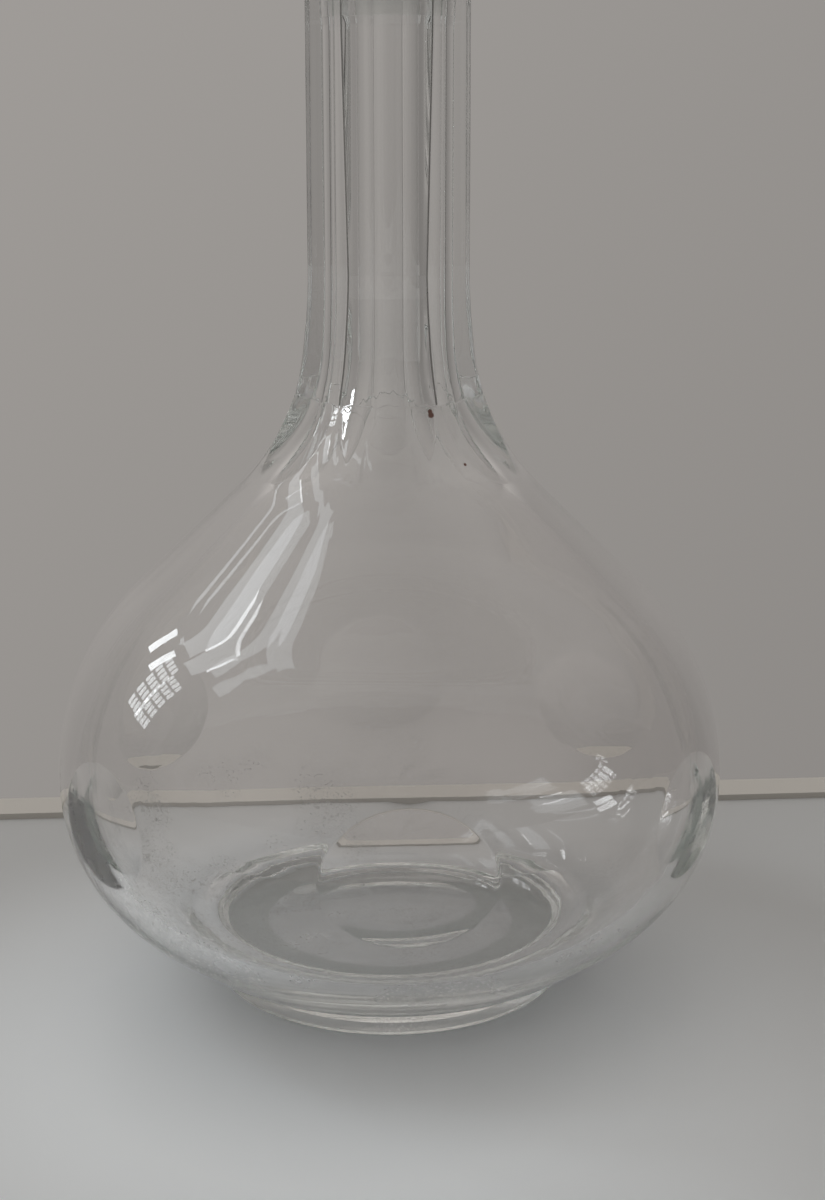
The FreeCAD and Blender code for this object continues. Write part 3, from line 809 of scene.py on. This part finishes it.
def floor_with_painted_light():
    """The plain pale table top, with painted shade darkening it towards its back edge, a painted
    pool of light round the foot that offsets the shadow of the glass, and a slight painted lift of
    light towards the right.
    """
    material, tree = node_tree("pale_floor")
    shader = tree.nodes.new("ShaderNodeBsdfPrincipled")
    shader.inputs["Roughness"].default_value = 0.5
    place = tree.nodes.new("ShaderNodeTexCoord").outputs["Object"]
    split = tree.nodes.new("ShaderNodeSeparateXYZ")
    tree.links.new(place, split.inputs[0])
    # Painted light: a pool of lighter colour round the foot, standing in for the light that the
    # glass's shadow takes away.
    reach = tree.nodes.new("ShaderNodeVectorMath")
    reach.operation = "DISTANCE"
    reach.inputs[1].default_value = (-0.01, -0.035, 0.0)
    tree.links.new(place, reach.inputs[0])
    near = between(tree, reach.outputs["Value"], 0.035, 0.13, 1.6, 0.0)
    near.node.interpolation_type = "SMOOTHSTEP"
    # Painted light: the table a little lighter towards the right and a little darker towards the
    # left.
    right = between(tree, split.outputs["X"], -0.1, 0.1, -0.02, 0.04)
    painted_light = combined(tree, "ADD", near, right)
    # Painted shade: darker towards the back edge; where painted light is added the mix runs past
    # the front colour.
    back = between(tree, split.outputs["Y"], -0.28, 0.10)
    shade = combined(tree, "MAXIMUM", combined(tree, "SUBTRACT", back, painted_light), -0.85)
    paint = mixed(tree, shade, FLOOR_FRONT_COLOUR, FLOOR_BACK_SHADE_COLOUR)
    paint.node.clamp_factor = False
    tree.links.new(paint, shader.inputs["Base Color"])
    output = tree.nodes.new("ShaderNodeOutputMaterial")
    tree.links.new(shader.outputs[0], output.inputs["Surface"])
    return material


def edge_paint():
    """Cream paint of the low strip along the table's back edge."""
    material, tree = node_tree("cream_edge")
    shader = tree.nodes.new("ShaderNodeBsdfPrincipled")
    shader.inputs["Base Color"].default_value = (0.58, 0.56, 0.52, 1)
    shader.inputs["Roughness"].default_value = 0.6
    output = tree.nodes.new("ShaderNodeOutputMaterial")
    tree.links.new(shader.outputs[0], output.inputs["Surface"])
    return material


# ---------------------------------------------------------------- stage, lights and camera

FLOOR_BACK = 0.1052
FLOOR_SLANT = 0.0759
FLOOR_SIDE = 1.6
FLOOR_FRONT = -1.6
FLOOR_DEPTH = 0.02
# The foot stands on grains of dust: the two faces must not lie in one plane.
FLOOR_GAP = 0.00005
EDGE_WIDTH = 0.012
EDGE_HEIGHT = 0.0015


def slab(name, near, far, low, high, material):
    """A slab as wide as the stage, with its near and far edge at a height of the plan."""
    mesh = bpy.data.meshes.new(name)
    corners = [
        (side * FLOOR_SIDE, edge(side * FLOOR_SIDE), z)
        for z in (low, high)
        for edge in (near, far)
        for side in (-1, 1)
    ]
    faces = [(0, 2, 3, 1), (4, 5, 7, 6), (0, 1, 5, 4), (2, 6, 7, 3), (0, 4, 6, 2), (1, 3, 7, 5)]
    mesh.from_pydata(corners, [], faces)
    mesh.materials.append(material)
    piece = bpy.data.objects.new(name, mesh)
    bpy.context.scene.collection.objects.link(piece)


def make_floor():
    def back(x):
        return FLOOR_BACK + FLOOR_SLANT * x

    def edge_front(x):
        return back(x) - EDGE_WIDTH

    slab("stage_floor", lambda x: FLOOR_FRONT, back, -FLOOR_DEPTH, -FLOOR_GAP, floor_with_painted_light())
    slab("stage_edge", edge_front, back, -FLOOR_GAP, EDGE_HEIGHT, edge_paint())


WALL_COLOUR = (0.305, 0.289, 0.275, 1)


def make_world():
    """A plain room: a warm grey wall ahead, lighter to the left and above, darker behind."""
    world = bpy.data.worlds.new("room")
    bpy.context.scene.world = world
    world.use_nodes = True
    tree = world.node_tree
    tree.nodes.clear()
    place = tree.nodes.new("ShaderNodeTexCoord")
    split = tree.nodes.new("ShaderNodeSeparateXYZ")
    tree.links.new(place.outputs["Generated"], split.inputs[0])
    x, y, z = split.outputs
    wall = combined(
        tree, "MULTIPLY",
        between(tree, x, -0.25, 0.25, 1.07, 0.92),
        between(tree, z, -0.45, 0.06, 0.90, 1.08),
    )
    sides = combined(
        tree, "MULTIPLY",
        between(tree, x, -0.9, -0.35, 0.75, 1.0),
        between(tree, x, 0.35, 0.9, 1.0, 0.7),
    )
    ceiling = between(tree, z, 0.3, 0.8, 1.0, 2.3)
    wall = combined(tree, "MULTIPLY", wall, combined(tree, "MULTIPLY", sides, ceiling))
    room = combined(
        tree, "MULTIPLY",
        between(tree, z, -0.1, 0.7, 0.9, 1.75),
        between(tree, x, -0.9, 0.2, 1.4, 0.75),
    )
    room = combined(tree, "MULTIPLY", room, between(tree, y, -1.0, -0.82, 0.45, 1.0))
    level = tree.nodes.new("ShaderNodeMix")
    tree.links.new(between(tree, y, -0.2, 0.1), level.inputs["Factor"])
    tree.links.new(room, level.inputs["A"])
    tree.links.new(wall, level.inputs["B"])
    background = tree.nodes.new("ShaderNodeBackground")
    background.inputs["Color"].default_value = WALL_COLOUR
    tree.links.new(level.outputs["Result"], background.inputs["Strength"])
    output = tree.nodes.new("ShaderNodeOutputWorld")
    tree.links.new(background.outputs[0], output.inputs["Surface"])


WINDOW_COLOUR = (0.93, 0.97, 1.0, 1)


def pane_glow(name, strength):
    material, tree = node_tree(name)
    light = tree.nodes.new("ShaderNodeEmission")
    light.inputs["Color"].default_value = WINDOW_COLOUR
    light.inputs["Strength"].default_value = strength
    output = tree.nodes.new("ShaderNodeOutputMaterial")
    tree.links.new(light.outputs[0], output.inputs["Surface"])
    return material


WINDOW_X = -1.1
WINDOW_EYE = 0.08


def window_place(azimuth, elevation):
    """The point of the window's plane in that direction from the bulb.

    Azimuth is in degrees from -Y towards +X, so -90 is straight to the left.
    """
    turn = math.radians(azimuth + 90)
    y = WINDOW_X * math.tan(turn)
    z = WINDOW_EYE - WINDOW_X / math.cos(turn) * math.tan(math.radians(elevation))
    return (WINDOW_X, y, z)


def window_part(name, material, azimuths, elevations, columns=1, rows=1, bar=0.25):
    """A lit field of the window, in one pane or in a lattice with bars between its panes."""
    left, low = window_place(azimuths[0], elevations[0])[1:]
    right, high = window_place(azimuths[1], elevations[1])[1:]
    pane_y, pane_z = (right - left) / columns, (high - low) / rows
    vertices, faces = [], []
    trim = bar / 2 if columns * rows > 1 else 0
    pane_corners = ((trim, trim), (1 - trim, trim), (1 - trim, 1 - trim), (trim, 1 - trim))
    for column in range(columns):
        for row in range(rows):
            start = len(vertices)
            for across, up in pane_corners:
                y = left + (column + across) * pane_y
                z = low + (row + up) * pane_z
                vertices.append((WINDOW_X, y, z))
            faces.append((start, start + 1, start + 2, start + 3))
    mesh = bpy.data.meshes.new(name)
    mesh.from_pydata(vertices, [], faces)
    mesh.materials.append(material)
    part = bpy.data.objects.new(name, mesh)
    bpy.context.scene.collection.objects.link(part)
    part.visible_camera = False


def make_window():
    """A tall window to the left: three lights, bright in places, over a lattice."""
    soft, bright = pane_glow("window_soft", 2.6), pane_glow("window_bright", 8.5)
    pale = pane_glow("window_pale", 5.5)
    window_part("stage_window_far", soft, (-122, -120.5), (33, 50))
    window_part("stage_window_far_foot", bright, (-120, -116.5), (23, 33))
    window_part("stage_window_middle", soft, (-111, -101), (35, 56))
    window_part("stage_window_middle_edge", bright, (-101, -99.5), (41, 51))
    window_part("stage_window_near", soft, (-90, -83), (40, 66))
    window_part("stage_window_near_top", soft, (-84, -79), (60, 65))
    window_part("stage_window_lattice", pale, (-108, -99), (12, 32), 4, 5)


CAMERA_PLACE = (0.00485, -0.393, 0.182)
CAMERA_DOWN = 14.3
CAMERA_LENS = 57.45


def make_camera():
    data = bpy.data.cameras.new("camera")
    data.lens = CAMERA_LENS
    camera = bpy.data.objects.new("camera", data)
    camera.location = CAMERA_PLACE
    camera.rotation_euler = (math.radians(90 - CAMERA_DOWN), 0, 0)
    bpy.context.scene.collection.objects.link(camera)
    bpy.context.scene.camera = camera


GLASS_BOUNCES = 160

scene = bpy.context.scene
scene.view_settings.view_transform = "Standard"
# Light runs round inside the bulb's wall many times before it leaves.
scene.cycles.max_bounces = GLASS_BOUNCES
scene.cycles.transmission_bounces = GLASS_BOUNCES
scene.cycles.glossy_bounces = GLASS_BOUNCES

clear, ground = clear_glass("clear_glass"), ground_glass("ground_glass")
# The third glass paints a dark line of shade along the neck's edges.
make_flask(clear, ground, edge_shade_glass("edge_shade_glass"), worn_glass("worn_glass"))
make_stopper(clear, ground)
make_floor()
make_world()
make_window()
make_camera()
